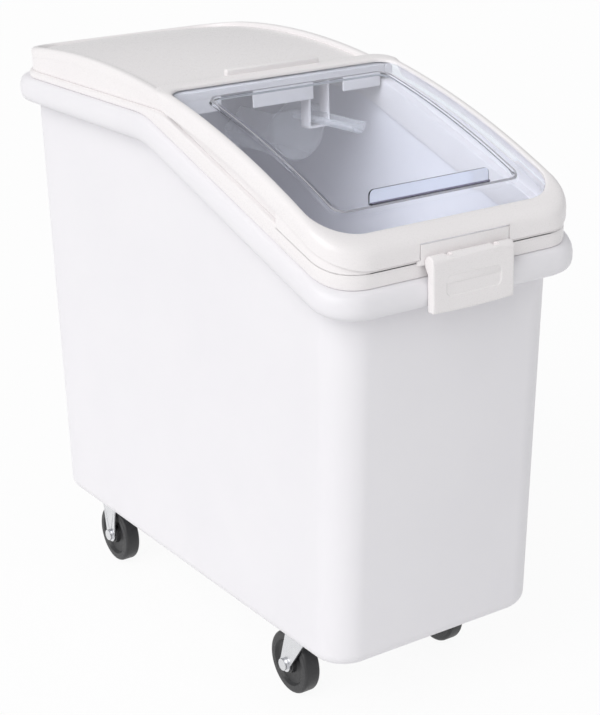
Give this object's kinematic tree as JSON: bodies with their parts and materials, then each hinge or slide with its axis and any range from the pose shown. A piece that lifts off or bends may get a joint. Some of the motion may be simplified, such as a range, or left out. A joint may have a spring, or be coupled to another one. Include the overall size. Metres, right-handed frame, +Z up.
{
  "type": "rolling flour bin",
  "caption": "Tall white ingredient bin on casters with a sloping lid: a clear front window slides back over a fixed arched rear cover; front latch and a hung scoop.",
  "frame": {"origin": "on the floor, under the middle of the bin's bounding box", "axes": "+X to the right across the bin, seen from the front; +Y to the back; +Z up"},
  "size_m": [0.334, 0.743, 0.7],
  "materials": {
    "tub_white": "satin",
    "lid_white": "satin",
    "clear_window": "clear",
    "clear_scoop": "clear",
    "zinc_steel": "bright zinc",
    "wheel_black": "satin",
    "bush_grey": "matte"
  },
  "bodies": {
    "bin": {"bin_body": "tub_white", "bin_floor": "tub_white", "lid_ring": "lid_white", "rear_cover": "lid_white", "latch_pin": "zinc_steel", "scoop_hanger": "lid_white", "caster_screws": "zinc_steel", "front_plate_left": "zinc_steel", "front_race_left": "zinc_steel", "front_kingpin_left": "zinc_steel", "rear_bracket_left": "zinc_steel", "rear_axle_left": "zinc_steel", "rear_nut_left": "zinc_steel", "front_plate_right": "zinc_steel", "front_race_right": "zinc_steel", "front_kingpin_right": "zinc_steel", "rear_bracket_right": "zinc_steel", "rear_axle_right": "zinc_steel", "rear_nut_right": "zinc_steel"},
    "window": {"window_frame": "lid_white", "window_panel": "clear_window"},
    "latch": {"front_latch": "lid_white"},
    "scoop": {"scoop": "clear_scoop"},
    "front_swivel_left": {"front_fork_left": "zinc_steel", "front_axle_left": "zinc_steel", "front_nut_left": "zinc_steel"},
    "front_roller_left": {"front_wheel_left": "wheel_black", "front_bush_left": "bush_grey"},
    "rear_roller_left": {"rear_wheel_left": "wheel_black", "rear_bush_left": "bush_grey"},
    "front_swivel_right": {"front_fork_right": "zinc_steel", "front_axle_right": "zinc_steel", "front_nut_right": "zinc_steel"},
    "front_roller_right": {"front_wheel_right": "wheel_black", "front_bush_right": "bush_grey"},
    "rear_roller_right": {"rear_wheel_right": "wheel_black", "rear_bush_right": "bush_grey"}
  },
  "joints": [
    {"name": "window_slide", "type": "hinge", "parent": "bin", "child": "window", "pos_m": [0, 0.18575, -0.48593], "axis": [-1, 0, 0], "range_deg": [0, 15]},
    {"name": "latch_swing", "type": "hinge", "parent": "bin", "child": "latch", "pos_m": [0, -0.3644, 0.553], "axis": [-1, 0, 0], "range_deg": [0, 95]},
    {"name": "scoop_lift", "type": "slide", "parent": "bin", "child": "scoop", "axis": [0, 0, 1], "range_m": [0, 0.012]},
    {"name": "front_swivel_left_turn", "type": "hinge", "parent": "bin", "child": "front_swivel_left", "pos_m": [-0.105, -0.206, 0.085], "axis": [0, 0, 1], "continuous": true},
    {"name": "front_wheel_left_spin", "type": "hinge", "parent": "front_swivel_left", "child": "front_roller_left", "pos_m": [-0.105, -0.178, 0.0381], "axis": [1, 0, 0], "continuous": true},
    {"name": "rear_wheel_left_spin", "type": "hinge", "parent": "bin", "child": "rear_roller_left", "pos_m": [-0.105, 0.253, 0.0381], "axis": [1, 0, 0], "continuous": true},
    {"name": "front_swivel_right_turn", "type": "hinge", "parent": "bin", "child": "front_swivel_right", "pos_m": [0.105, -0.206, 0.085], "axis": [0, 0, 1], "continuous": true},
    {"name": "front_wheel_right_spin", "type": "hinge", "parent": "front_swivel_right", "child": "front_roller_right", "pos_m": [0.105, -0.178, 0.0381], "axis": [1, 0, 0], "continuous": true},
    {"name": "rear_wheel_right_spin", "type": "hinge", "parent": "bin", "child": "rear_roller_right", "pos_m": [0.105, 0.253, 0.0381], "axis": [1, 0, 0], "continuous": true}
  ]
}
